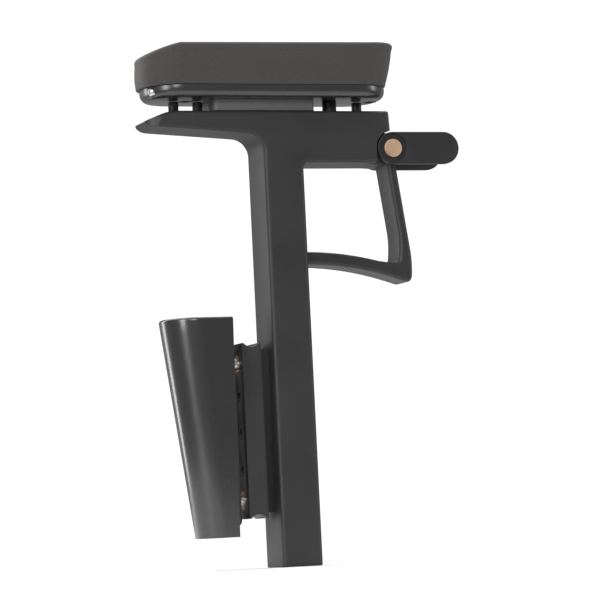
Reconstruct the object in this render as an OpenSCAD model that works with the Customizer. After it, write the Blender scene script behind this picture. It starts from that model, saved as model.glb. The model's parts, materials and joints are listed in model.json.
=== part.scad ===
// Adjustable skeleton shoulder stock: a beam with a T-shaped butt head and a hand loop, a rubber butt pad
// that slides for length, a cheek rest that slides for height, and a support foot that folds over the loop.
// +Z runs along the beam to the butt pad, +X points to the loop side, and Y is the width.
// The origin is the middle of the beam's plain lower end.

/* [Beam and butt head] */
// Width of the beam, from the cheek rest's side to the loop's side
beam_w = 20.5; // [20:0.5:21]
// Depth of the beam and of the butt head
beam_d = 26; // [26:0.5:28]
// Height of the butt head's top above the beam's plain end
head_top = 222; // [220:1:226]
// Height of the butt head's thick side
head_h = 25.7; // [25:0.1:27]
// Reach of the butt head's pointed wing
wing_reach = 70; // [68:1:71]

/* [Hand loop] */
// Depth of the loop's bar and strut
loop_d = 18; // [17.5:0.5:18]
// Thickness of the loop's lower bar
bar_t = 6.5; // [6:0.5:7]
// Thickness of the loop's strut
strut_t = 4.9; // [4.5:0.1:5]

/* [Butt pad] */
// Length of the rubber pad
pad_l = 132; // [130:1:134]
// Width of the rubber pad
pad_w = 40; // [39:1:42]
// Thickness of the rubber pad
pad_t = 22; // [21:1:24]
// Thickness of the base plate under the pad
plate_t = 6; // [5.5:0.5:6]
// Space between the base plate and the butt head at the shortest length
pad_gap = 6; // [6:0.5:7]

/* [Cheek rest] */
// Length of the cheek shell
shell_l = 106; // [104:1:108]
// Radius of the shell's ridge at its upper end
shell_r_top = 17; // [16.5:0.5:18]
// Radius of the shell's ridge at its lower end
shell_r_low = 12.5; // [12.5:0.5:13]
// Wall of the cheek shell
shell_wall = 2.4; // [2:0.1:2.6]
// Diameter of the two posts that carry the cheek rest
post_dia = 6; // [5.5:0.1:6]

/* [Support foot] */
// Length from the foot's pivot to its tip
foot_l = 35; // [33:1:36]
// Height of the foot
foot_h = 16; // [15.5:0.1:16]

/* [Hidden] */
$fn = 64;
e = 0.5;                    // how far a cutter runs past the face that it cuts

fit = 0.05;                 // radial clearance of a running fit
loose = 0.1;                // radial clearance round a screw or a static piece
lock_air = 0.3;             // space between a lock screw and what it locks
head_inset = 0.2;           // how far a sunk screw head stays under the surface round it
key_d = 3.4;                // hexagon socket of the common screws, across its corners
small_key_d = 2.4;
large_key_d = 4.6;
key_depth = 2;
bore_air = 0.5;             // radial space round a rod outside its bush

beam_x = beam_w / 2;
beam_y = beam_d / 2;
beam_corner = 3;
plug_bore = 14;             // lightening bore in the beam's lower end
plug_bore_top = 120;
plug_l = 8;
plug_flange = 17;
plug_flange_t = 2;

head_low = head_top - head_h;
head_end = 56;              // where the head's thick side ends
wing_root_t = 11;
wing_tip_t = 5;
wing_fillet = 9;
wing_round = 10;            // corner radius of the wing's end, seen from above

column_d = 12;
column_low = 162;
column_bore_low = 146;
bush_wall = 1.5;
length_bush_l = 25;
lock_z = 186;               // height of the length lock screw
lock_screw_d = 6;
lock_pad_t = 2;
lock_key_depth = 3;
lock_pad_y = column_d / 2 + lock_air;

guide_x = 29.5;
guide_d = 7;
guide_low = head_top - 20;
guide_bore_low = head_top - 21.5;
guide_bush_wall = 1.5;

stop_xs = [-51.4, -39.1, 43.9];
stop_d = 4;
stop_head_d = 5;
stop_depth = 7;
stop_air = 0.4;             // space over the stops and under the carrier

plate_low = head_top + pad_gap;
plate_top = plate_low + plate_t;
pad_top = plate_top + pad_t;
pad_left = -69;
pad_right = pad_left + pad_l;
pad_corner = 17;
pad_end_slope = 5.5;        // how far the pad's end leans out towards its face
pad_chamfer_l = 30;
pad_chamfer_h = 7;
pad_hollow = 1.3;           // depth of the hollow in the pad's face
pad_hollow_steps = 12;
plate_left = -67;
plate_right = 57;
plate_w = pad_w - 2;
plate_step = 1.6;           // the plate's lower edge is stepped in by this much
plate_step_h = 2;

carrier_left = -34;
carrier_right = 18.5;
carrier_w = 20;
carrier_corner = 3;
carrier_screw_xs = [-26, 12.5];
carrier_screw_y = 6;
carrier_screw_d = 4;
carrier_head_d = 7;
carrier_head_t = 3;
column_screw_d = 6;
column_screw_l = 12;        // how far the screw reaches into the column
column_tap_l = 14;
column_head_d = 11;
column_head_t = 3.2;
guide_spigot_d = 5;
guide_spigot_end = plate_top - 1;
pad_screw_xs = [-45.25, 51];
pad_screw_d = 4;
pad_screw_head_d = 7;
pad_screw_head_t = 2.5;
pad_screw_reach = 12;
plate_pin_d = 4.6;
plate_pin_l = 9;
plate_pin_x = -49;          // centre that the pin points away from
plate_pin_reach = 17.8;     // distance from that centre to the middle of the pin's domed end
plate_pin_angle = 30;       // turn of the pin from the plate's long axis
plate_pin_z = plate_low + 3.2;

pivot_x = 57.4;
pivot_z = head_top - 18.6;
boss_r = 8;
foot_r = foot_h / 2;
pocket_r = foot_r + 0.8;
foot_fold = 82;             // angle from sticking out to lying over the strut
washer_t = 1;
fork_slot = loop_d + 2.4;
foot_web_t = 2.4;
foot_web_start = 10.5;
foot_tip_wall = 4.4;        // thickness of the web at the tip
pin_d = 6;
pin_head_d = 9;
pin_head_proud = 0.2;
ring_d = 14.6;
ring_depth = 1.2;
nut_d = 10;
nut_t = 2;
nut_key_depth = 1.2;
washer_d = 8.6;
detent_ball_d = 3;
detent_r = 6.2;             // distance of the detent ball from the pivot
detent_bore_l = 8;
detent_air = 0.1;           // space between the ball and the foot's cheek
dimple_d = 2.4;
dimple_depth = 0.8;
spring_wire_d = 0.5;
spring_turns = 6;
spring_sides = 6;
spring_steps = 16;          // steps in one turn

strut_top_x = 56.8;         // middle of the strut's upper end
strut_low_x = 65;           // middle of the strut's lower end
strut_flare = 6;            // how far the strut widens into the loop's corner
strut_flare_h = 14;
corner_r = 6.3;
corner_x = strut_low_x + strut_t / 2 - corner_r;
corner_z = head_top - 80.6;
bar_root_z = head_top - 72.3;
bar_sag = 8.6;
bar_steps = 12;
window_fillet = 3;

block_left = -25;
block_right = -15.3;
block_mid = (block_left + block_right) / 2;
block_w = 18;
block_low = 24;
block_top = 109;
block_scallop_r = 5;
block_scallop_out = 3;      // distance of the scallop's centre past the block's end
spacer_w = 10;
spacer_inset = 3;
block_screw_zs = [48, 66, 84];
block_screw_d = 4;
block_screw_head_d = 7;
block_screw_head_t = 4;
block_screw_tip = -6;

post_zs = [33, 99];
post_left = -38;
post_right = 5;
post_bore_end = 6.5;
cheek_bush_wall = 1.5;
cheek_lock_d = 4;

bar_left = -36;
bar_right = -28.5;
bar_w = 15;
bar_corner = 3;
cheek_bar_low = 20.5;
cheek_bar_top = 116.5;
shell_low = 15.5;
shell_top = shell_low + shell_l;
shell_edge_x = -31.5;       // the shell's open edges
shell_mid_top = -46.2;      // middle of the ridge's round at the upper end
shell_mid_low = -37;        // middle of the ridge's round at the lower end
shell_cap_t = 3;
shell_rib_zs = [45, 84];
shell_rib_t = 12;
shell_screw_d = 4;
shell_screw_head_d = 7;
shell_screw_head_t = 2.4;
shell_screw_l = 14;
shell_tap_l = 8;

// ---------- helpers ----------

// A rod along X from x0 to x1
module rod_x(d, x0, x1, y = 0, z = 0) {
    translate([x0, y, z]) rotate([0, 90, 0]) cylinder(d = d, h = x1 - x0);
}

// A rod along Y from y0 to y1
module rod_y(d, y0, y1, x = 0, z = 0) {
    translate([x, y1, z]) rotate([90, 0, 0]) cylinder(d = d, h = y1 - y0);
}

// A rod along Z from z0 to z1
module rod_z(d, z0, z1, x = 0, y = 0) {
    translate([x, y, z0]) cylinder(d = d, h = z1 - z0);
}

// A profile drawn in X and Z, made into a slab of depth d in the middle of Y
module slab(d) {
    rotate([90, 0, 0]) linear_extrude(height = d, center = true) children();
}

// A block between two corners
module block(low, high) {
    translate(low) cube(high - low);
}

// A flat outline with round corners, from x0 to x1 and w wide
module rounded_plan(x0, x1, w, r) {
    translate([x0 + r, -w / 2]) square([x1 - x0 - 2 * r, w]);
    translate([x0, -w / 2 + r]) square([x1 - x0, w - 2 * r]);
    for (x = [x0 + r, x1 - r], y = [-w / 2 + r, w / 2 - r]) translate([x, y]) circle(r = r);
}

// The filler of an inside corner at x, z that opens towards sx, sz
module corner_fillet(x, z, sx, sz, r) {
    difference() {
        translate([min(x, x + sx * r), min(z, z + sz * r)]) square(r);
        translate([x + sx * r, z + sz * r]) circle(r = r);
    }
}

// A stadium from the pivot to the foot's tip
module foot_outline(r) {
    translate([pivot_x, pivot_z]) circle(r = r);
    translate([pivot_x + foot_l - foot_r, pivot_z]) circle(r = r);
    translate([pivot_x, pivot_z - r]) square([foot_l - foot_r, 2 * r]);
}

// ---------- frame ----------

// Height of the middle of the loop's bar at x
function bar_mid(x) = bar_root_z - bar_sag * pow((x - beam_x) / (corner_x - beam_x), 2);

// Middle of the loop's strut at height z
function strut_mid(z) =
    strut_top_x + (strut_low_x - strut_top_x) * (pivot_z - z) / (pivot_z - corner_z);

module loop_profile() {
    step = (corner_x - beam_x + 2) / bar_steps;
    xs = [for (i = [0:bar_steps]) beam_x - 2 + i * step];
    upper = [for (x = xs) [x, bar_mid(x) + bar_t / 2]];
    lower = [for (i = [bar_steps:-1:0]) [xs[i], bar_mid(xs[i]) - bar_t / 2]];
    polygon(concat(upper, lower));
    translate([corner_x, corner_z]) circle(r = corner_r);
    polygon([[strut_top_x - strut_t / 2, pivot_z], [strut_top_x + strut_t / 2, pivot_z],
        [strut_low_x + strut_t / 2, corner_z], [strut_low_x - strut_t / 2 - strut_flare, corner_z],
        [strut_mid(corner_z + strut_flare_h) - strut_t / 2, corner_z + strut_flare_h]]);
    corner_fillet(beam_x, head_low, 1, -1, window_fillet);
    corner_fillet(strut_mid(head_low) - strut_t / 2, head_low, -1, -1, window_fillet);
    corner_fillet(beam_x, bar_mid(beam_x) + bar_t / 2 - 0.2, 1, 1, window_fillet);
}

module head_profile() {
    difference() {
        polygon([[-wing_reach, head_top - 4.6], [-wing_reach + 9, head_top - 0.9],
            [-wing_reach + 13, head_top],
            [head_end, head_top], [head_end + 1.4, pivot_z], [head_end + 1.4, head_low],
            [-beam_x, head_low], [-beam_x, head_top - wing_root_t - wing_fillet],
            [-beam_x - wing_fillet, head_top - wing_root_t], [-wing_reach + 6, head_top - wing_tip_t - 3],
            [-wing_reach + 1.5, head_top - wing_tip_t - 1.4]]);
        translate([-beam_x - wing_fillet, head_top - wing_root_t - wing_fillet])
            circle(r = wing_fillet);
    }
}

module foot_pockets() {
    depth = beam_y - loop_d / 2 + e;
    right = pivot_x + 2 * foot_r;
    for (y = [-beam_y - e, loop_d / 2]) {
        block([pivot_x, y, pivot_z - pocket_r], [right, y + depth, pivot_z + pocket_r]);
        block([pivot_x - pocket_r, y, head_low - e], [right, y + depth, pivot_z]);
        rod_y(2 * pocket_r, y, y + depth, pivot_x, pivot_z);
    }
}

module stock_frame() {
    color([0.20, 0.19, 0.20])
    difference() {
        union() {
            linear_extrude(height = head_top - 5) rounded_plan(-beam_x, beam_x, beam_d, beam_corner);
            intersection() {
                slab(beam_d) head_profile();
                linear_extrude(height = head_top + e)
                    rounded_plan(-wing_reach, head_end + 2 * wing_round, beam_d, wing_round);
            }
            slab(loop_d) loop_profile();
            rod_y(2 * boss_r, -loop_d / 2, loop_d / 2, pivot_x, pivot_z);
        }
        foot_pockets();
        // the lightening bore and its plug's seat
        rod_z(plug_bore, -e, plug_bore_top);
        rod_z(plug_flange + 2 * loose, -e, plug_flange_t);
        // the length column and its bush
        rod_z(column_d + 2 * bore_air, column_bore_low, head_top + e);
        rod_z(column_d + 2 * bush_wall, head_top - length_bush_l, head_top + e);
        // the guide rod's bush
        rod_z(guide_d + 2 * guide_bush_wall, guide_bore_low, head_top + e, guide_x);
        for (x = stop_xs) rod_z(stop_d, head_top - stop_depth, head_top + e, x);
        rod_y(lock_screw_d, 0, beam_y + e, 0, lock_z);
        rod_y(pin_d + 2 * loose, -beam_y, beam_y, pivot_x, pivot_z);
        rod_y(detent_ball_d + 2 * loose, loop_d / 2 - detent_bore_l, loop_d / 2 + e, pivot_x - detent_r,
            pivot_z);
        for (z = post_zs) rod_x(post_dia + 2 * bore_air, -beam_x - e, post_bore_end, 0, z);
        for (z = block_screw_zs) rod_x(block_screw_d, -beam_x - e, block_screw_tip, 0, z);
    }
}

module beam_end_plug() {
    color([0.12, 0.12, 0.12]) {
        rod_z(plug_bore - 2 * loose, plug_flange_t, plug_l);
        rod_z(plug_flange, 0, plug_flange_t);
    }
}

module length_bush() {
    color([0.72, 0.52, 0.30])
    difference() {
        rod_z(column_d + 2 * bush_wall, head_top - length_bush_l, head_top);
        rod_z(column_d + 2 * fit, head_top - length_bush_l - e, head_top + e);
    }
}

module guide_bush() {
    color([0.72, 0.52, 0.30])
    difference() {
        rod_z(guide_d + 2 * guide_bush_wall, guide_bore_low, head_top, guide_x);
        rod_z(guide_d + 2 * fit, guide_bore_low - e, head_top + e, guide_x);
    }
}

module length_lock_pad() {
    color([0.80, 0.65, 0.35])
    rod_y(lock_screw_d - 2 * loose, lock_pad_y, lock_pad_y + lock_pad_t, 0, lock_z);
}

module length_lock_screw() {
    color([0.15, 0.15, 0.15])
    difference() {
        rod_y(lock_screw_d, lock_pad_y + lock_pad_t, beam_y - 2 * head_inset, 0, lock_z);
        translate([0, beam_y, lock_z]) rotate([90, 0, 0])
            cylinder(d = key_d, h = lock_key_depth, $fn = 6);
    }
}

module stop_screws() {
    color([0.12, 0.12, 0.12])
    for (x = stop_xs) {
        rod_z(stop_d, head_top - stop_depth, head_top, x);
        rod_z(stop_head_d, head_top, plate_low - stop_air, x);
    }
}

// ---------- length of the stock ----------

module pad_carrier() {
    color([0.45, 0.44, 0.44])
    difference() {
        translate([0, 0, head_top + stop_air]) linear_extrude(height = pad_gap - stop_air)
            rounded_plan(carrier_left, carrier_right, carrier_w, carrier_corner);
        rod_z(column_d, head_top - e, plate_low + e);
        for (x = carrier_screw_xs, y = [-carrier_screw_y, carrier_screw_y])
            rod_z(carrier_screw_d, head_top, plate_low + e, x, y);
    }
}

module length_column() {
    color([0.78, 0.78, 0.80])
    difference() {
        rod_z(column_d, column_low, plate_low);
        rod_z(column_screw_d, plate_low - column_tap_l, plate_low + e);
    }
}

module column_screw() {
    color([0.15, 0.15, 0.15])
    difference() {
        union() {
            rod_z(column_screw_d, plate_low - column_screw_l, plate_top - column_head_t);
            rod_z(column_head_d, plate_top - column_head_t, plate_top - head_inset);
        }
        translate([0, 0, plate_top - key_depth]) cylinder(d = large_key_d, h = key_depth, $fn = 6);
    }
}

module guide_rod() {
    color([0.12, 0.12, 0.12]) {
        rod_z(guide_d, guide_low, plate_low, guide_x);
        rod_z(guide_spigot_d, plate_low, guide_spigot_end, guide_x);
    }
}

module base_plate() {
    color([0.22, 0.21, 0.21])
    difference() {
        union() {
            translate([0, 0, plate_low]) linear_extrude(height = plate_step_h)
                rounded_plan(plate_left + plate_step, plate_right - plate_step, plate_w - 2 * plate_step,
                    pad_corner - plate_step);
            translate([0, 0, plate_low + plate_step_h]) linear_extrude(height = plate_t - plate_step_h)
                rounded_plan(plate_left, plate_right, plate_w, pad_corner);
        }
        rod_z(column_screw_d + 2 * loose, plate_low - e, plate_top);
        rod_z(column_head_d + 2 * loose, plate_top - column_head_t, plate_top + e);
        rod_z(guide_spigot_d, plate_low - e, guide_spigot_end, guide_x);
        for (x = carrier_screw_xs, y = [-carrier_screw_y, carrier_screw_y]) {
            rod_z(carrier_screw_d + 2 * loose, plate_low - e, plate_top, x, y);
            rod_z(carrier_head_d + 2 * loose, plate_top - carrier_head_t, plate_top + e, x, y);
        }
        for (x = pad_screw_xs) {
            rod_z(pad_screw_d + 2 * loose, plate_low - e, plate_top + e, x);
            rod_z(pad_screw_head_d + 2 * loose, plate_low - e, plate_low + pad_screw_head_t, x);
        }
        plate_pin_place()
            rod_x(plate_pin_d, -plate_pin_reach - plate_pin_d, plate_pin_l - plate_pin_reach);
    }
}

module carrier_screws() {
    color([0.15, 0.15, 0.15])
    for (x = carrier_screw_xs, y = [-carrier_screw_y, carrier_screw_y]) difference() {
        union() {
            rod_z(carrier_screw_d, head_top + 1, plate_top - carrier_head_t, x, y);
            rod_z(carrier_head_d, plate_top - carrier_head_t, plate_top - head_inset, x, y);
        }
        translate([x, y, plate_top - key_depth]) cylinder(d = key_d, h = key_depth, $fn = 6);
    }
}

// Turns a rod along X into the pin that points out of the plate's round end
module plate_pin_place() {
    translate([plate_pin_x, 0, plate_pin_z]) rotate([0, 0, plate_pin_angle]) children();
}

module plate_end_pin() {
    color([0.90, 0.89, 0.86])
    plate_pin_place() {
        rod_x(plate_pin_d, -plate_pin_reach, plate_pin_l - plate_pin_reach);
        translate([-plate_pin_reach, 0, 0]) sphere(d = plate_pin_d);
    }
}

module pad_screws() {
    color([0.15, 0.15, 0.15])
    for (x = pad_screw_xs) difference() {
        union() {
            rod_z(pad_screw_head_d, plate_low, plate_low + pad_screw_head_t, x);
            rod_z(pad_screw_d, plate_low, plate_top + pad_screw_reach, x);
        }
        translate([x, 0, plate_low - e]) cylinder(d = key_d, h = key_depth + e, $fn = 6);
    }
}

// Side view of the pad: a chamfered end, a hollow face and an end that leans out
module pad_profile() {
    face_l = pad_l - pad_chamfer_l;
    face = [for (i = [0:pad_hollow_steps])
        let (t = i / pad_hollow_steps)
        [pad_left + pad_chamfer_l + face_l * t, pad_top - pad_hollow * 4 * t * (1 - t)]];
    polygon(concat([[pad_left, plate_top], [pad_left, pad_top - pad_chamfer_h]], face,
        [[pad_right - pad_end_slope, plate_top]]));
}

module butt_pad() {
    color([0.28, 0.26, 0.25])
    difference() {
        intersection() {
            translate([0, 0, plate_top]) linear_extrude(height = pad_t)
                rounded_plan(pad_left, pad_right, pad_w, pad_corner);
            slab(pad_w + 2) pad_profile();
        }
        for (x = pad_screw_xs)
            rod_z(pad_screw_d, plate_top - e, plate_top + pad_screw_reach, x);
    }
}

// ---------- cheek rest ----------

module cheek_spacer() {
    color([0.10, 0.10, 0.10])
    difference() {
        block([block_right, -spacer_w / 2, block_low + spacer_inset],
            [-beam_x, spacer_w / 2, block_top - spacer_inset]);
        for (z = post_zs) rod_x(post_dia + 2 * bore_air, block_right - e, -beam_x + e, 0, z);
        for (z = block_screw_zs) rod_x(block_screw_d + 2 * loose, block_right - e, -beam_x + e, 0, z);
    }
}

module cheek_block() {
    color([0.22, 0.21, 0.21])
    difference() {
        block([block_left, -block_w / 2, block_low], [block_right, block_w / 2, block_top]);
        for (z = [block_low - block_scallop_out, block_top + block_scallop_out])
            rod_y(2 * block_scallop_r, -block_w, block_w, block_mid, z);
        for (z = post_zs) {
            rod_x(post_dia + 2 * cheek_bush_wall, block_left - e, block_right + e, 0, z);
            rod_y(cheek_lock_d, 0, block_w / 2 + e, block_mid, z);
        }
        for (z = block_screw_zs) {
            rod_x(block_screw_d + 2 * loose, block_left - e, block_right + e, 0, z);
            rod_x(block_screw_head_d + 2 * loose, block_left - e, block_left + block_screw_head_t, 0, z);
        }
    }
}

module block_screws() {
    color([0.15, 0.15, 0.15])
    for (z = block_screw_zs) difference() {
        union() {
            rod_x(block_screw_d, block_left + block_screw_head_t, block_screw_tip, 0, z);
            rod_x(block_screw_head_d, block_left + head_inset, block_left + block_screw_head_t, 0, z);
        }
        translate([block_left, 0, z]) rotate([0, 90, 0]) cylinder(d = key_d, h = key_depth, $fn = 6);
    }
}

module cheek_bushes() {
    color([0.72, 0.52, 0.30])
    for (z = post_zs) difference() {
        rod_x(post_dia + 2 * cheek_bush_wall, block_left, block_right, 0, z);
        rod_x(post_dia + 2 * fit, block_left - e, block_right + e, 0, z);
        rod_y(cheek_lock_d + 2 * loose, 0, block_w, block_mid, z);
    }
}

module cheek_lock_screws() {
    color([0.15, 0.15, 0.15])
    for (z = post_zs) difference() {
        rod_y(cheek_lock_d, post_dia / 2 + lock_air, block_w / 2 - head_inset, block_mid, z);
        translate([block_mid, block_w / 2, z]) rotate([90, 0, 0])
            cylinder(d = small_key_d, h = key_depth, $fn = 6);
    }
}

module cheek_posts() {
    color([0.82, 0.82, 0.84])
    for (z = post_zs) rod_x(post_dia, post_left, post_right, 0, z);
}

module cheek_bar() {
    r = bar_corner;
    color([0.08, 0.08, 0.08])
    difference() {
        slab(bar_w) {
            translate([bar_left, cheek_bar_low + r]) square([bar_right - bar_left,
                cheek_bar_top - cheek_bar_low - 2 * r]);
            translate([bar_left, cheek_bar_low]) square([bar_right - bar_left - r,
                cheek_bar_top - cheek_bar_low]);
            for (z = [cheek_bar_low + r, cheek_bar_top - r]) translate([bar_right - r, z]) circle(r = r);
        }
        for (z = post_zs) rod_x(post_dia, bar_left - e, bar_right + e, 0, z);
        for (z = shell_rib_zs) {
            rod_x(shell_screw_d + 2 * loose, bar_left - e, bar_right + e, 0, z);
            rod_x(shell_screw_head_d + 2 * loose, bar_right - shell_screw_head_t, bar_right + e, 0, z);
        }
    }
}

// One slice of the shell's D-shaped section, drawn in X and Y
module shell_slice(z, mid, r, edge) {
    translate([0, 0, z]) linear_extrude(height = 0.01) {
        translate([mid, 0]) circle(r = r, $fn = 40);
        translate([mid, -r]) square([edge - mid, 2 * r]);
    }
}

module shell_solid(inset, low, top, edge) {
    hull() {
        shell_slice(low, shell_mid_low, shell_r_low - inset, edge);
        shell_slice(top, shell_mid_top, shell_r_top - inset, edge);
    }
}

module cheek_shell() {
    color([0.10, 0.10, 0.11])
    difference() {
        shell_solid(0, shell_low, shell_top, shell_edge_x);
        // the open side towards the beam
        block([shell_edge_x, -pad_w, shell_low - e], [0, pad_w, shell_top + e]);
        // the hollow, less the two ribs that take the screws
        difference() {
            shell_solid(shell_wall, shell_low - e, shell_top - shell_cap_t, shell_edge_x + e);
            for (z = shell_rib_zs)
                block([-wing_reach, -pad_w, z - shell_rib_t / 2], [bar_left, pad_w, z + shell_rib_t / 2]);
        }
        for (z = shell_rib_zs) rod_x(shell_screw_d, bar_left - shell_tap_l, bar_left + e, 0, z);
    }
}

module shell_screws() {
    color([0.15, 0.15, 0.15])
    for (z = shell_rib_zs) difference() {
        union() {
            rod_x(shell_screw_d, bar_right - shell_screw_l, bar_right - shell_screw_head_t, 0, z);
            rod_x(shell_screw_head_d, bar_right - shell_screw_head_t, bar_right - head_inset, 0, z);
        }
        translate([bar_right - key_depth, 0, z]) rotate([0, 90, 0])
            cylinder(d = key_d, h = key_depth, $fn = 6);
    }
}

// ---------- support foot ----------

module support_foot() {
    color([0.24, 0.23, 0.23])
    difference() {
        slab(beam_d) foot_outline(foot_r);
        // the slot that takes the frame's boss, and the strut when the foot is folded
        difference() {
            block([pivot_x - foot_h, -fork_slot / 2, pivot_z - foot_h],
                [pivot_x + foot_l + e, fork_slot / 2, pivot_z + foot_h]);
            block([pivot_x + foot_web_start, -beam_y, pivot_z + foot_r - foot_web_t],
                [pivot_x + foot_l + e, beam_y, pivot_z + foot_h]);
            block([pivot_x + foot_l - foot_r, -beam_y, pivot_z + foot_r - foot_tip_wall],
                [pivot_x + foot_l + e, beam_y, pivot_z + foot_h]);
        }
        rod_y(pin_d + 2 * fit, -beam_d, beam_d, pivot_x, pivot_z);
        rod_y(ring_d, -beam_y - e, -beam_y + ring_depth, pivot_x, pivot_z);
        rod_y(ring_d, beam_y - ring_depth, beam_y + e, pivot_x, pivot_z);
        for (a = [0, foot_fold])
            rod_y(dimple_d, fork_slot / 2 - e, fork_slot / 2 + dimple_depth,
                pivot_x - detent_r * cos(a), pivot_z - detent_r * sin(a));
    }
}

module foot_washers() {
    color([0.72, 0.52, 0.30])
    for (side = [-1, 1]) difference() {
        translate([pivot_x, side * (loop_d + fork_slot) / 4, pivot_z]) rotate([90, 0, 0])
            cylinder(d = washer_d, h = washer_t, center = true);
        rod_y(pin_d + 2 * loose, -beam_d, beam_d, pivot_x, pivot_z);
    }
}

module foot_pivot_pin() {
    color([0.78, 0.62, 0.48]) {
        rod_y(pin_d, -beam_y + ring_depth, beam_y - ring_depth, pivot_x, pivot_z);
        rod_y(pin_head_d, -beam_y - pin_head_proud, -beam_y + ring_depth, pivot_x, pivot_z);
    }
}

module foot_pivot_nut() {
    color([0.15, 0.15, 0.15])
    difference() {
        rod_y(nut_d, beam_y - ring_depth, beam_y - ring_depth + nut_t, pivot_x, pivot_z);
        translate([pivot_x, beam_y - ring_depth + nut_t + e, pivot_z]) rotate([90, 0, 0])
            cylinder(d = large_key_d, h = nut_key_depth + e, $fn = 6);
    }
}

module foot_detent_ball() {
    color([0.82, 0.82, 0.84])
    translate([pivot_x - detent_r, fork_slot / 2 - detent_air - detent_ball_d / 2, pivot_z])
        sphere(d = detent_ball_d);
}

// A coil of round wire that starts at the origin and runs along Z
module coil_spring(r, wire, l, turns, steps, sides) {
    n = turns * steps;
    points = [for (i = [0:n], j = [0:sides - 1])
        let (a = 360 * i / steps, b = 360 * j / sides, out = r + wire / 2 * cos(b))
        [out * cos(a), out * sin(a), wire / 2 + (l - wire) * i / n + wire / 2 * sin(b)]];
    walls = [for (i = [0:n - 1], j = [0:sides - 1])
        let (k = (j + 1) % sides)
        [i * sides + j, (i + 1) * sides + j, (i + 1) * sides + k, i * sides + k]];
    start = [for (j = [0:sides - 1]) j];
    end = [for (j = [sides - 1:-1:0]) n * sides + j];
    polyhedron(points, concat(walls, [start, end]));
}

module foot_detent_spring() {
    low = loop_d / 2 - detent_bore_l;
    high = fork_slot / 2 - detent_air - detent_ball_d;
    color([0.75, 0.75, 0.76])
    translate([pivot_x - detent_r, high - detent_air, pivot_z]) rotate([90, 0, 0])
        coil_spring(detent_ball_d / 2 - spring_wire_d, spring_wire_d, high - low - 2 * detent_air,
            spring_turns, spring_steps, spring_sides);
}

stock_frame();
beam_end_plug();
length_bush();
guide_bush();
length_lock_pad();
length_lock_screw();
stop_screws();
cheek_spacer();
cheek_block();
block_screws();
cheek_bushes();
cheek_lock_screws();
foot_detent_spring();
foot_detent_ball();
foot_washers();
pad_carrier();
length_column();
column_screw();
guide_rod();
base_plate();
carrier_screws();
plate_end_pin();
pad_screws();
butt_pad();
cheek_bar();
cheek_posts();
cheek_shell();
shell_screws();
support_foot();
foot_pivot_pin();
foot_pivot_nut();
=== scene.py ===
import json
import math

import bmesh
import bpy
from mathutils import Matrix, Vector


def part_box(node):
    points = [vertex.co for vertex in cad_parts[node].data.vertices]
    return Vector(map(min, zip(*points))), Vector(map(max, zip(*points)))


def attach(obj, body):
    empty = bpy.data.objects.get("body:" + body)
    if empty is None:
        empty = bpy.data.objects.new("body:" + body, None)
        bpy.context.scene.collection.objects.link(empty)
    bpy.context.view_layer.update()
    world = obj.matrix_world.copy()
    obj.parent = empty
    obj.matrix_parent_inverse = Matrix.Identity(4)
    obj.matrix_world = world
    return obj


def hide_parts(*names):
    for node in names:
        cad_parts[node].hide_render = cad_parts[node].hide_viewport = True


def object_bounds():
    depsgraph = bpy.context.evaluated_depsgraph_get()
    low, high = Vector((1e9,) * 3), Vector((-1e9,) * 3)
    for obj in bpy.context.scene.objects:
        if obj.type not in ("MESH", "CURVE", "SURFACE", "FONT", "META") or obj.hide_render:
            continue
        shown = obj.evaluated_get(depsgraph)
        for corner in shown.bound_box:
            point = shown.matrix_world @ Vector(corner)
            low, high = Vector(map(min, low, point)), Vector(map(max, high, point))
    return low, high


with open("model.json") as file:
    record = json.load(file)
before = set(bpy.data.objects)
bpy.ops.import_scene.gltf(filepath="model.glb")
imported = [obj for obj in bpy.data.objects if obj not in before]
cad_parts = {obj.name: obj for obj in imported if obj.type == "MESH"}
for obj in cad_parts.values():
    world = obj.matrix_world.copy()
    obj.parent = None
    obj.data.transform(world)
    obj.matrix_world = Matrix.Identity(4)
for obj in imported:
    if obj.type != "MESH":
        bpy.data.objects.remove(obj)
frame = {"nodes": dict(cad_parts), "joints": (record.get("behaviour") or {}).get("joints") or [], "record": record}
cad_box = [list(corner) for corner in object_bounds()]
nodes = frame["nodes"]
MM = 0.001
joints = {j["name"]: j for j in frame["joints"]}
slots = {m["slot"]: m["base_color"] for m in frame["record"]["materials"]}
node_slot = {s["node"]: s["material_slot"] for s in frame["record"]["subparts"]}


# ---------- materials ----------

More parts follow.
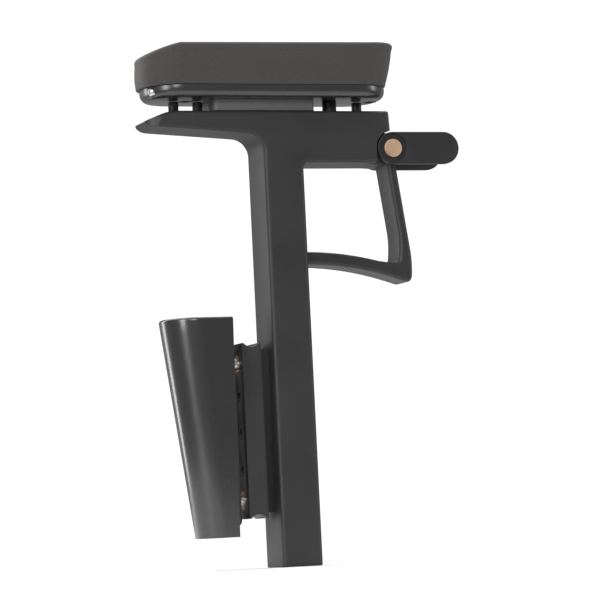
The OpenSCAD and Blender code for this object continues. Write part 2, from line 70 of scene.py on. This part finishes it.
class Shader:
    """A Principled material whose nodes are added one call at a time."""

    def __init__(self, name, colour, roughness, metallic=0.0, **sockets):
        self.material = bpy.data.materials.new(name)
        self.material.use_nodes = True
        self.tree = self.material.node_tree
        self.surface = self.tree.nodes["Principled BSDF"]
        self.surface.inputs["Base Color"].default_value = (*colour, 1)
        self.surface.inputs["Roughness"].default_value = roughness
        self.surface.inputs["Metallic"].default_value = metallic
        for socket, value in sockets.items():
            self.surface.inputs[socket.replace("_", " ")].default_value = value
        place = self.add("ShaderNodeTexCoord")
        self.place = place.outputs["Object"]

    def add(self, kind, **values):
        """A node whose values are its own settings or, failing that, its sockets."""
        node = self.tree.nodes.new(kind)
        for name, value in values.items():
            if hasattr(node, name):
                setattr(node, name, value)
            else:
                node.inputs[name.replace("_", " ")].default_value = value
        return node

    def link(self, out, socket):
        self.tree.links.new(out, socket)

    def stretched(self, scale):
        """Object coordinates scaled along each axis."""
        node = self.add("ShaderNodeMapping", Scale=scale)
        self.link(self.place, node.inputs["Vector"])
        return node.outputs["Vector"]

    def noise(self, scale, detail=4.0, place=None):
        node = self.add("ShaderNodeTexNoise", Scale=scale, Detail=detail)
        self.link(place or self.place, node.inputs["Vector"])
        return node.outputs["Fac"]

    def cells(self, scale):
        node = self.add("ShaderNodeTexVoronoi", Scale=scale)
        self.link(self.place, node.inputs["Vector"])
        return node.outputs["Distance"]

    def ramp(self, value, low, high, dark, light):
        """A value between low and high becomes a value between dark and light."""
        node = self.add("ShaderNodeMapRange")
        for name, number in (("From Min", low), ("From Max", high), ("To Min", dark), ("To Max", light)):
            node.inputs[name].default_value = number
        self.link(value, node.inputs["Value"])
        return node.outputs["Result"]

    def mix(self, value, dark, light):
        """A colour between two, by a value from 0 to 1."""
        node = self.add("ShaderNodeMix", data_type="RGBA")
        node.inputs["A"].default_value = (*dark, 1)
        node.inputs["B"].default_value = (*light, 1)
        self.link(value, node.inputs["Factor"])
        return node.outputs["Result"]

    def bump(self, layers):
        """Each layer is (height value, depth in metres)."""
        normal = None
        for height, depth in layers:
            node = self.add("ShaderNodeBump", Distance=depth)
            node.inputs["Strength"].default_value = 1.0
            self.link(height, node.inputs["Height"])
            if normal:
                self.link(normal, node.inputs["Normal"])
            normal = node.outputs["Normal"]
        self.link(normal, self.surface.inputs["Normal"])


def shade(colour, factor):
    """A colour made darker or lighter by a factor."""
    return tuple(min(1.0, c * factor) for c in colour)


def anodised(name, colour, roughness, spread=0.06, coat=0.0):
    """Bead-blasted, hard-anodised aluminium: a fine grain and a slightly cloudy tone."""
    s = Shader(name, colour, roughness, metallic=0.25, Coat_Weight=coat, Coat_Roughness=0.28)
    cloud = s.noise(28.0)
    grain = s.noise(2600.0, 2.0)
    s.link(s.mix(s.ramp(cloud, 0.3, 0.7, 0.0, 1.0), shade(colour, 0.86), shade(colour, 1.16)),
           s.surface.inputs["Base Color"])
    s.link(s.ramp(cloud, 0.25, 0.75, roughness - spread, roughness + spread),
           s.surface.inputs["Roughness"])
    s.bump([(grain, 0.00003), (s.noise(420.0, 3.0), 0.00003)])
    return s.material


def moulded(name, colour, roughness, coat=0.0):
    """Moulded polymer: fine spark-erosion texture with faint flow marks along the part."""
    s = Shader(name, colour, roughness, Coat_Weight=coat, Coat_Roughness=0.17)
    flow = s.noise(9.0, 5.0, s.stretched((3.0, 3.0, 0.7)))
    s.link(s.mix(s.ramp(flow, 0.3, 0.7, 0.0, 1.0), shade(colour, 0.85), shade(colour, 1.2)),
           s.surface.inputs["Base Color"])
    s.link(s.ramp(flow, 0.3, 0.7, roughness - 0.05, roughness + 0.05), s.surface.inputs["Roughness"])
    s.bump([(s.noise(1500.0, 2.0), 0.00002), (flow, 0.00008)])
    return s.material


def rubber(name, colour):
    """Matt filled rubber: pebble grain, pale dust in the hollows and a soft sheen."""
    s = Shader(name, colour, 0.78, Sheen_Weight=0.12, Sheen_Roughness=0.6)
    cloud = s.noise(35.0, 6.0)
    speck = s.noise(1100.0, 3.0)
    tone = s.mix(s.ramp(cloud, 0.32, 0.68, 0.0, 1.0), shade(colour, 0.84), shade(colour, 1.15))
    dust = s.add("ShaderNodeMix", data_type="RGBA", blend_type="SCREEN")
    s.link(s.ramp(speck, 0.56, 0.72, 0.0, 0.35), dust.inputs["Factor"])
    s.link(tone, dust.inputs["A"])
    dust.inputs["B"].default_value = (*shade(colour, 0.9), 1)
    s.link(dust.outputs["Result"], s.surface.inputs["Base Color"])
    s.link(s.ramp(cloud, 0.3, 0.7, 0.70, 0.86), s.surface.inputs["Roughness"])
    s.bump([(s.cells(900.0), 0.00006), (speck, 0.00004)])
    return s.material


def turned(name, colour, roughness, metallic=1.0):
    """Turned or ground metal: fine lines round the part and small marks from handling."""
    s = Shader(name, colour, roughness, metallic=metallic)
    lines = s.noise(900.0, 3.0, s.stretched((1.0, 1.0, 8.0)))
    marks = s.noise(160.0, 5.0)
    s.link(s.mix(s.ramp(marks, 0.3, 0.7, 0.0, 1.0), shade(colour, 0.88), shade(colour, 1.08)),
           s.surface.inputs["Base Color"])
    s.link(s.ramp(lines, 0.3, 0.7, roughness - 0.07, roughness + 0.09), s.surface.inputs["Roughness"])
    s.bump([(lines, 0.00001)])
    return s.material


def blackened(name, colour, roughness):
    """Black-oxide steel: oily dark film with faint brown patches and rubbed spots."""
    s = Shader(name, colour, roughness, metallic=0.6)
    patch = s.noise(240.0, 5.0)
    s.link(s.mix(s.ramp(patch, 0.4, 0.7, 0.0, 1.0), colour, (0.055, 0.048, 0.042)),
           s.surface.inputs["Base Color"])
    s.link(s.ramp(patch, 0.3, 0.7, roughness - 0.06, roughness + 0.1), s.surface.inputs["Roughness"])
    s.bump([(s.noise(1800.0, 2.0), 0.00001)])
    return s.material


def make_materials():
    """One finish for each of the record's material slots, in the slot's own base colour."""
    c = {name: tuple(colour[:3]) for name, colour in slots.items()}
    return {
        "black_anodised": anodised("black_anodised", c["black_anodised"], 0.46),
        "satin_plate": anodised("satin_plate", c["satin_plate"], 0.26, 0.03, coat=0.8),
        "foot_finish": anodised("foot_finish", c["foot_finish"], 0.48),
        "grey_aluminium": anodised("grey_aluminium", c["grey_aluminium"], 0.52),
        "black_polymer": moulded("black_polymer", c["black_polymer"], 0.6),
        "gloss_shell": moulded("gloss_shell", c["gloss_shell"], 0.3, coat=1.0),
        "pad_rubber": rubber("pad_rubber", c["pad_rubber"]),
        "bronze": turned("bronze", c["bronze"], 0.35),
        "pin_bronze": turned("pin_bronze", c["pin_bronze"], 0.42, metallic=0.7),
        "bright_steel": turned("bright_steel", c["bright_steel"], 0.25),
        "black_steel": blackened("black_steel", c["black_steel"], 0.4),
    }


materials = make_materials()


# ---------- mesh helpers ----------

def paint(obj, slot):
    """Gives an object the finish of a material slot, and no other."""
    obj.data.materials.clear()
    obj.data.materials.append(materials[slot])


def new_piece(name, mesh, body, slot, *replaced):
    """Links a mesh as a piece of the object, on a body, with the slot's finish."""
    piece = bpy.data.objects.new(name, mesh)
    bpy.context.scene.collection.objects.link(piece)
    paint(piece, slot)
    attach(piece, body)
    if replaced:
        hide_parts(*replaced)
    return piece


def smooth(obj, angle=35):
    """Smooth shading, apart from edges sharper than the angle in degrees."""
    obj.data.shade_smooth()
    obj.data.set_sharp_from_angle(angle=math.radians(angle))


def round_edges(obj, width):
    """Weld, dissolve and bevel modifiers that round a CAD node's hard edges."""
    weld = obj.modifiers.new("weld", "WELD")
    weld.merge_threshold = 0.000002
    flat = obj.modifiers.new("flat", "DECIMATE")
    flat.decimate_type = "DISSOLVE"
    flat.angle_limit = math.radians(0.5)
    bevel = obj.modifiers.new("round", "BEVEL")
    bevel.width = width
    bevel.segments = 3
    bevel.limit_method = "ANGLE"
    bevel.angle_limit = math.radians(32)
    bevel.harden_normals = True


def soften(obj, width):
    """Rounds the sharp edges that booleans leave on a mesh, by a width in mm."""
    bevel = obj.modifiers.new("round", "BEVEL")
    bevel.width = width * MM
    bevel.segments = 2
    bevel.limit_method = "ANGLE"
    bevel.angle_limit = math.radians(50)
    bevel.harden_normals = True


def arc(x, z, r, start, end, steps=16):
    """Points on a circle from one angle to another, in degrees."""
    turn = math.radians(end - start)
    return [(x + r * math.cos(math.radians(start) + turn * i / steps),
             z + r * math.sin(math.radians(start) + turn * i / steps)) for i in range(steps + 1)]


CORNER_STEPS = 5


def outline(corners, inset):
    """Points round anticlockwise (x, z, reach) corners, drawn in by inset.

    Reach is how far along its two sides a corner's round starts, before it is drawn in.
    """
    drawn, reaches = [], []
    for i, (x, z, reach) in enumerate(corners):
        here = Vector((x, z))
        before = (here - Vector(corners[i - 1][:2])).normalized()
        after = (Vector(corners[(i + 1) % len(corners)][:2]) - here).normalized()
        turn = before.angle_signed(after, 0.0) * -1
        normals = Vector((-before.y, before.x)) + Vector((-after.y, after.x))
        drawn.append(here + normals * inset / (1 + max(before.dot(after), -0.85)))
        half = abs(math.tan(turn / 2))
        reaches.append(max(0.04, reach - inset * half if turn > 0 else reach + inset * half)
                       if reach else 0)
    points = []
    for i, (here, reach) in enumerate(zip(drawn, reaches)):
        if not reach:
            points.append(tuple(here))
            continue
        before, after = drawn[i - 1] - here, drawn[(i + 1) % len(drawn)] - here
        start = here + before.normalized() * min(reach, before.length * 0.45)
        end = here + after.normalized() * min(reach, after.length * 0.45)
        for k in range(CORNER_STEPS + 1):
            t = k / CORNER_STEPS
            points.append(tuple(start * (1 - t) ** 2 + here * 2 * t * (1 - t) + end * t * t))
    return points


def slab(corners, depth, rounding):
    """An outline in X and Z, in mm, made into a slab of that depth with round edges."""
    angles = [math.radians(90 * i / CORNER_STEPS) for i in range(CORNER_STEPS + 1)]
    levels = [(-1, a) for a in reversed(angles)] + [(1, a) for a in angles]
    rings = []
    for side, a in levels:
        y = side * (depth / 2 - rounding * (1 - math.sin(a)))
        rings.append([(x, y, z) for x, z in outline(corners, rounding * (1 - math.cos(a)))])
    return loft(rings)


def cylinder(start, end, radius, steps=48):
    """A closed rod between two points in mm."""
    low, high = Vector(start) * MM, Vector(end) * MM
    bm = bmesh.new()
    bmesh.ops.create_cone(bm, cap_ends=True, segments=steps, radius1=radius * MM, radius2=radius * MM,
                          depth=(high - low).length)
    turn = (high - low).to_track_quat("Z", "Y").to_matrix().to_4x4()
    turn.translation = (low + high) / 2
    bm.transform(turn)
    mesh = bpy.data.meshes.new("rod")
    bm.to_mesh(mesh)
    bm.free()
    return mesh


def box_mesh(low, high):
    """A closed block between two corners in mm."""
    bm = bmesh.new()
    bmesh.ops.create_cube(bm, size=1.0)
    size = Vector(high) - Vector(low)
    bmesh.ops.scale(bm, vec=size * MM, verts=bm.verts)
    bmesh.ops.translate(bm, vec=(Vector(low) + size / 2) * MM, verts=bm.verts)
    mesh = bpy.data.meshes.new("block")
    bm.to_mesh(mesh)
    bm.free()
    return mesh


def combine(base, others, operation):
    """Booleans the other meshes into the base one and returns the result."""
    scratch = [bpy.data.objects.new("scratch", mesh) for mesh in (base, *others)]
    for obj in scratch:
        bpy.context.scene.collection.objects.link(obj)
    for tool in scratch[1:]:
        cut = scratch[0].modifiers.new("cut", "BOOLEAN")
        cut.operation = operation
        cut.solver = "EXACT"
        cut.object = tool
    graph = bpy.context.evaluated_depsgraph_get()
    result = bpy.data.meshes.new_from_object(scratch[0].evaluated_get(graph))
    for obj in scratch:
        bpy.data.objects.remove(obj)
    return result


def plan_outline(left, right, width, corner, inset=0.0, steps=12):
    """Points round a plan with round corners, in mm, drawn in by inset."""
    r = corner - inset
    half = width / 2 - corner
    points = []
    for x, y, start in ((right - corner, half, 0), (left + corner, half, 90),
                        (left + corner, -half, 180), (right - corner, -half, 270)):
        points += arc(x, y, r, start, start + 90, steps)
    return points


def loft(rings):
    """A closed skin through rings of the same number of points in mm, with its two ends filled."""
    bm = bmesh.new()
    rows = [[bm.verts.new(Vector(p) * MM) for p in ring] for ring in rings]
    count = len(rings[0])
    for low, high in zip(rows, rows[1:]):
        for i in range(count):
            k = (i + 1) % count
            bm.faces.new((low[i], low[k], high[k], high[i]))
    bm.faces.new(rows[0][::-1])
    bm.faces.new(rows[-1])
    bmesh.ops.recalc_face_normals(bm, faces=bm.faces)
    mesh = bpy.data.meshes.new("loft")
    bm.to_mesh(mesh)
    bm.free()
    return mesh


# ---------- sizes that the detailed pieces share with the CAD, in mm ----------

def box_mm(node):
    """The two corners of a CAD node's box, in mm."""
    low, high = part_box(node)
    return low / MM, high / MM


frame_low, frame_high = box_mm("stock_frame")
HEAD_TOP = frame_high.z
DEPTH = frame_high.y
WING_TIP = frame_low.x
PIVOT = Vector(joints["foot_fold"]["pos_m"]) / MM

# Frame: half the beam, then the head, wing, boss and hand loop.
BEAM = 10.25
HEAD_LOW = HEAD_TOP - 25.7
WING_LOW = HEAD_TOP - 11
WING_FILLET = 9
EDGE_ROUND = 2.0
POCKET = 8.8
BOSS_R, BOSS_LEFT = 8, 40
LOOP_DEPTH = 18
CORNER_X, CORNER_Z = 61.15, HEAD_TOP - 80.6
BAR_HALF, STRUT_HALF = 3.25, 2.45
BAR_TOP, BAR_SAG = HEAD_TOP - 72.3, 8.6
STRUT_TOP, STRUT_LEAN = 56.8, 8.2

# The frame's inner bores.
BUSH_AIR = 0.05
COLUMN_ROOM = 51
PLUG_R, PLUG_HEAD_R, PLUG_END = 7.05, 8.6, 60
LOCK_R, PIN_R, BALL_R, POST_R = 3.05, 3.1, 1.6, 3.5

# Butt pad and plate.
BUTT_CORNER = 17
CHAMFER, CHAMFER_DROP, CHAMFER_CURVE = 30, 7, 0.35
FACE_HOLLOW = 5.2

# Cheek shell.
RIDGE_LOW, RIDGE_LEAN = -37, 9.2
RIDGE_R, RIDGE_SPREAD = 12.5, 4.5
RIBS, RIB_HALF = (45, 84), 6

# How far the frame's cutting tools reach to each side.
PAST = 20


# ---------- the frame ----------

def frame_corners():
    """The beam and the head, with a fillet under the wing."""
    fillet = [(x, z, 0) for x, z in
              arc(-BEAM - WING_FILLET, WING_LOW - WING_FILLET, WING_FILLET, 90, 0, 10)]
    return [
        (WING_TIP, HEAD_TOP - 5.2, 2.6), (WING_TIP + 6, HEAD_TOP - 8, 2), *fillet, (-BEAM, 0, 0.8),
        (BEAM, 0, 0.8), (BEAM, HEAD_LOW, 3), (PIVOT.x, HEAD_LOW, 0), (PIVOT.x - 1.2, HEAD_TOP, 1.5),
        (WING_TIP + 13, HEAD_TOP, 5)]


def strut_mid(z):
    """Middle of the leaning strut at height z."""
    return STRUT_TOP + STRUT_LEAN * (PIVOT.z - z) / (PIVOT.z - CORNER_Z)


def bar_mid(x):
    """Middle of the sagging bar at x."""
    return BAR_TOP - BAR_SAG * ((x - BEAM) / (CORNER_X - BEAM)) ** 2


def loop_corners():
    """The strut and the bar as one bent band with a round outer corner."""
    xs = [BEAM - 3 + (CORNER_X - 1 - BEAM) * i / 12 for i in range(13)]
    under = [(x, bar_mid(x) - BAR_HALF, 0) for x in xs]
    over = [(x, bar_mid(x) + BAR_HALF, 0) for x in reversed(xs[:-2])]
    return under + [
        (CORNER_X + 5, CORNER_Z - 5.2, 6), (strut_mid(CORNER_Z + 8) + STRUT_HALF, CORNER_Z + 8, 4),
        (strut_mid(PIVOT.z) + STRUT_HALF, PIVOT.z, 0), (strut_mid(PIVOT.z) - STRUT_HALF, PIVOT.z, 0),
        (strut_mid(CORNER_Z + 17) - STRUT_HALF, CORNER_Z + 17, 6),
        (strut_mid(CORNER_Z + 5) - 5.2, CORNER_Z + 5.2, 3.5)] + over


def make_frame():
    """The beam, head, boss and hand loop as one casting, with a pocket for the foot and its inner bores."""
    body = slab(frame_corners(), 2 * DEPTH, EDGE_ROUND)
    x, z = PIVOT.x, PIVOT.z
    pocket = [cylinder((x, -PAST, z), (x, PAST, z), POCKET, 96),
              box_mesh((x - POCKET, -PAST, HEAD_LOW - 1), (x + 12, PAST, z)),
              box_mesh((x, -PAST, HEAD_LOW - 1), (x + 12, PAST, z + POCKET))]
    body = combine(body, pocket, "DIFFERENCE")
    ends = [[(a, b, level) for a, b in plan_outline(WING_TIP, x + 30, 2 * DEPTH + 0.1, 10)]
            for level in (-1, HEAD_TOP + 1)]
    body = combine(body, [loft(ends)], "INTERSECT")
    boss_corners = [(a, b, 0) for a, b in arc(x, z, BOSS_R, -90, 90, 24)]
    boss_corners += [(BOSS_LEFT, z + BOSS_R, 0), (BOSS_LEFT, z - BOSS_R + 1, 0)]
    boss = slab(boss_corners, LOOP_DEPTH, 0.6)
    hoop = slab(loop_corners(), LOOP_DEPTH, EDGE_ROUND)
    whole = combine(body, [boss, hoop], "UNION")
    (guide_low, guide_high), (bush_low, bush_high) = box_mm("guide_bush"), box_mm("length_bush")
    guide_x = (guide_low.x + guide_high.x) / 2
    screw_low, screw_high = box_mm("length_lock_screw")
    lock_z = (screw_low.z + screw_high.z) / 2
    posts_low, posts_high = box_mm("cheek_posts")
    ball_low, ball_high = box_mm("foot_detent_ball")
    ball_x = (ball_low.x + ball_high.x) / 2
    cutters = [
        cylinder((0, 0, bush_low.z - COLUMN_ROOM), (0, 0, HEAD_TOP + 1), bush_high.x - 1),
        cylinder((0, 0, bush_low.z), (0, 0, HEAD_TOP + 1), bush_high.x + BUSH_AIR),
        cylinder((guide_x, 0, guide_low.z), (guide_x, 0, HEAD_TOP + 1), guide_high.y + BUSH_AIR),
        cylinder((0, 0, -1), (0, 0, 2.0), PLUG_HEAD_R),
        cylinder((0, 0, -1), (0, 0, PLUG_END), PLUG_R),
        cylinder((0, 6, lock_z), (0, DEPTH + 1, lock_z), LOCK_R),
        cylinder((x, -PAST, z), (x, PAST, z), PIN_R),
        cylinder((ball_x, 1, z), (ball_x, 10, z), BALL_R),
        *(cylinder((-BEAM - 1, 0, level), (6.5, 0, level), POST_R)
          for level in (posts_low.z + 3, posts_high.z - 3)),
    ]
    whole = combine(whole, cutters, "DIFFERENCE")
    whole.name = "stock_casting"
    piece = new_piece("stock_casting", whole, "frame", "black_anodised", "stock_frame")
    smooth(piece, 30)
    soften(piece, 0.35)


# ---------- butt pad and base plate ----------

def make_base_plate():
    """The plate under the pad, with a well rounded lower edge and a recess for each screw head."""
    low, high = box_mm("base_plate")
    tall, wide, upper = 4.2, 3.6, 0.5
    profile = [(low.z + tall * (1 - math.cos(math.radians(a))), wide * (1 - math.sin(math.radians(a))))
               for a in range(0, 91, 9)]
    profile += [(high.z - upper * (1 - math.sin(math.radians(a))), upper * (1 - math.cos(math.radians(a))))
                for a in range(0, 91, 30)]
    rings = [[(x, y, z) for x, y in plan_outline(low.x, high.x, 2 * high.y, BUTT_CORNER, inset, 16)]
             for z, inset in profile]
    screws_low, screws_high = box_mm("pad_screws")
    head = 3.5
    recesses = [cylinder((x, 0, low.z - 1), (x, 0, low.z + 2.5), head + 0.2)
                for x in (screws_low.x + head, screws_high.x - head)]
    plate = combine(loft(rings), recesses, "DIFFERENCE")
    smooth(new_piece("butt_plate", plate, "butt", "satin_plate", "base_plate"), 40)


def face_height(x, low, high):
    """Height of the pad's face at x: it drops at the left end, and is slightly hollow beyond."""
    start = low.x + CHAMFER
    if x < start:
        t = (start - x) / CHAMFER
        return high.z - CHAMFER_DROP * t * t * (1 + CHAMFER_CURVE - CHAMFER_CURVE * t)
    t = (x - start) / (high.x - start)
    return high.z - FACE_HOLLOW * t * (1 - t)


def make_pad():
    """The rubber pad: its side swells slightly, its rim is round and its right end leans out."""
    low, high = box_mm("butt_pad")
    corner, lean, rim = BUTT_CORNER, 5.5, 2.2

    def ring(t, inset, drop=0.0, shrink=1.0):
        """One ring at a share t of the pad's height, drawn in by inset and shrunk to its spine."""
        points = []
        for x, y in plan_outline(low.x, high.x, 2 * high.y, corner, inset, 16):
            spine = min(max(x, low.x + corner), high.x - corner)
            x, y = spine + (x - spine) * shrink, y * shrink
            z = low.z + (face_height(x, low, high) - drop - low.z) * t
            towards = max(0.0, (x - 20) / (high.x - 20))
            points.append((x - lean * towards * (1 - (z - low.z) / (high.z - low.z)), y, z))
        return points

    rings = [ring(0, 0.9), ring(0.012, 0.65), ring(0.03, 0.5)]
    rings += [ring(0.06 + 0.06 * i, 0.5 - 0.4 * math.sin(math.pi * i / 14), rim) for i in range(15)]
    for i in range(1, 9):
        a = math.radians(90 * i / 8)
        rings.append(ring(1.0, 0.3 + rim * (1 - math.cos(a)), rim * (1 - math.sin(a))))
    rings += [ring(1.0, 0.3 + rim, 0.0, 1 - i / 12) for i in range(1, 12)]
    pad = new_piece("shoulder_pad", loft(rings), "butt", "pad_rubber", "butt_pad")
    smooth(pad, 50)


# ---------- cheek shell ----------

def shell_rings(inset, low, high, edge, rim=0.0):
    """Rings of the shell's D-shaped section; its ridge runs from one round to a larger one."""
    shell_low, shell_high = box_mm("cheek_shell")
    z0, z1 = shell_low.z, shell_high.z
    levels = [(low + (high - rim - low) * i / 16, 0.0) for i in range(17)]
    if rim:
        for i in range(1, 9):
            a = math.radians(90 * i / 8)
            levels.append((high - rim + rim * math.sin(a), rim * (1 - math.cos(a))))
    rings = []
    for z, drawn_in in levels:
        t = (z - z0) / (z1 - z0)
        mid, r = RIDGE_LOW - RIDGE_LEAN * t, RIDGE_R + RIDGE_SPREAD * t - inset - drawn_in
        side = [(edge, -r), ((edge + mid) / 2, -r)]
        ridge = arc(mid, 0, r, -90, -270, 48)
        rings.append([(x, y, z) for x, y in side + ridge + [(x, -y) for x, y in reversed(side)]])
    return rings


def make_cheek_shell():
    """The cheek rest's half tube, closed on top and open to the bar, with two ribs inside."""
    low, high = box_mm("cheek_shell")
    wall, cap = 2.4, 3
    bar_face = box_mm("cheek_bar")[0].x
    outer = loft(shell_rings(0, low.z, high.z, high.x, 1.6))
    hollow = loft(shell_rings(wall, low.z - 1, high.z - cap, high.x + 1))
    far, wide = -80, 30
    ribs = [box_mesh((far, -wide, z - RIB_HALF), (bar_face, wide, z + RIB_HALF)) for z in RIBS]
    hollow = combine(hollow, ribs, "DIFFERENCE")
    shell = combine(outer, [hollow], "DIFFERENCE")
    piece = new_piece("cheek_rest_shell", shell, "cheek", "gloss_shell", "cheek_shell")
    smooth(piece, 30)
    soften(piece, 0.5)


make_frame()
make_base_plate()
make_pad()
make_cheek_shell()


# ---------- CAD nodes that stay ----------

ROUNDING = {
    "cheek_block": 0.7, "cheek_bar": 0.5, "cheek_spacer": 0.3, "pad_carrier": 0.5,
    "support_foot": 0.8, "foot_pivot_pin": 0.25, "foot_pivot_nut": 0.3, "stop_screws": 0.35,
    "guide_rod": 0.3, "cheek_posts": 0.3, "length_column": 0.4, "beam_end_plug": 0.4,
    "length_lock_screw": 0.15, "cheek_lock_screws": 0.15, "block_screws": 0.15, "shell_screws": 0.15,
    "column_screw": 0.15, "carrier_screws": 0.15, "pad_screws": 0.15, "length_bush": 0.2,
    "guide_bush": 0.2, "cheek_bushes": 0.2, "foot_washers": 0.1, "length_lock_pad": 0.1,
}

REPLACED = {"stock_frame", "base_plate", "butt_pad", "cheek_shell"}

for name, node in nodes.items():
    if name in REPLACED:
        continue
    paint(node, node_slot[name])
    smooth(node)
    if name in ROUNDING:
        round_edges(node, ROUNDING[name] * MM)


# ---------- camera, lights and floor ----------

def aim(obj, target):
    """Turns a camera or light to look at a point."""
    obj.rotation_euler = (target - obj.location).to_track_quat("-Z", "Y").to_euler()


def add_camera():
    """A long lens to the left of the part and just below its middle, rolled a little."""
    low, high = (Vector(corner) for corner in cad_box)
    centre = (low + high) / 2
    azimuth, elevation = math.radians(-20), math.radians(-4.5)
    distance = 1.5
    camera = bpy.data.objects.new("camera", bpy.data.cameras.new("camera"))
    bpy.context.scene.collection.objects.link(camera)
    back = Vector((math.sin(azimuth) * math.cos(elevation), -math.cos(azimuth) * math.cos(elevation),
                   math.sin(elevation)))
    camera.location = centre + back * distance
    camera.data.lens = 181
    camera.data.sensor_width = 36
    aim(camera, centre)
    camera.rotation_euler.rotate_axis("Z", math.radians(-2.8))
    bpy.context.scene.camera = camera


def add_light(name, place, target, width, height, power):
    """A rectangular soft light, in metres and watts."""
    light = bpy.data.objects.new(name, bpy.data.lights.new(name, "AREA"))
    bpy.context.scene.collection.objects.link(light)
    light.data.shape = "RECTANGLE"
    light.data.size = width
    light.data.size_y = height
    light.data.energy = power
    light.location = place
    aim(light, Vector(target))


def add_stage():
    """A small pale floor, and a white world that the camera sees brighter than it lights."""
    mesh = bpy.data.meshes.new("floor")
    half = 0.35
    mesh.from_pydata([(-half, -half, 0), (half, -half, 0), (half, half, 0), (-half, half, 0)], [],
                     [(0, 1, 2, 3)])
    floor = bpy.data.objects.new("floor", mesh)
    bpy.context.scene.collection.objects.link(floor)
    s = Shader("floor", (0.9, 0.9, 0.9), 0.8)
    s.link(s.mix(s.noise(3.0), (0.89, 0.89, 0.89), (0.93, 0.93, 0.93)), s.surface.inputs["Base Color"])
    floor.data.materials.append(s.material)
    world = bpy.data.worlds.new("world")
    bpy.context.scene.world = world
    world.use_nodes = True
    tree = world.node_tree
    background = tree.nodes["Background"]
    background.inputs["Color"].default_value = (1, 1, 1, 1)
    path = tree.nodes.new("ShaderNodeLightPath")
    strength = tree.nodes.new("ShaderNodeMapRange")
    strength.inputs["To Min"].default_value = 0.3
    strength.inputs["To Max"].default_value = 1.1
    tree.links.new(path.outputs["Is Camera Ray"], strength.inputs["Value"])
    tree.links.new(strength.outputs["Result"], background.inputs["Strength"])


bpy.context.scene.view_settings.view_transform = "Standard"
add_camera()
add_light("key", (-1.15, -0.8, 0.55), (0, 0, 0.13), 0.4, 1.1, 11)
add_light("front", (-0.5, -1.5, 0.9), (0, 0, 0.13), 0.45, 0.9, 9)
add_light("rim", (-0.8, 0.9, 0.35), (-0.02, 0, 0.12), 0.28, 1.0, 4)
add_light("right", (1.3, -0.6, 0.5), (0, 0, 0.13), 0.35, 0.9, 5)
add_light("floor_wash", (0.0, 0.6, 1.6), (0, 0.3, 0), 2.2, 2.2, 34)
add_stage()
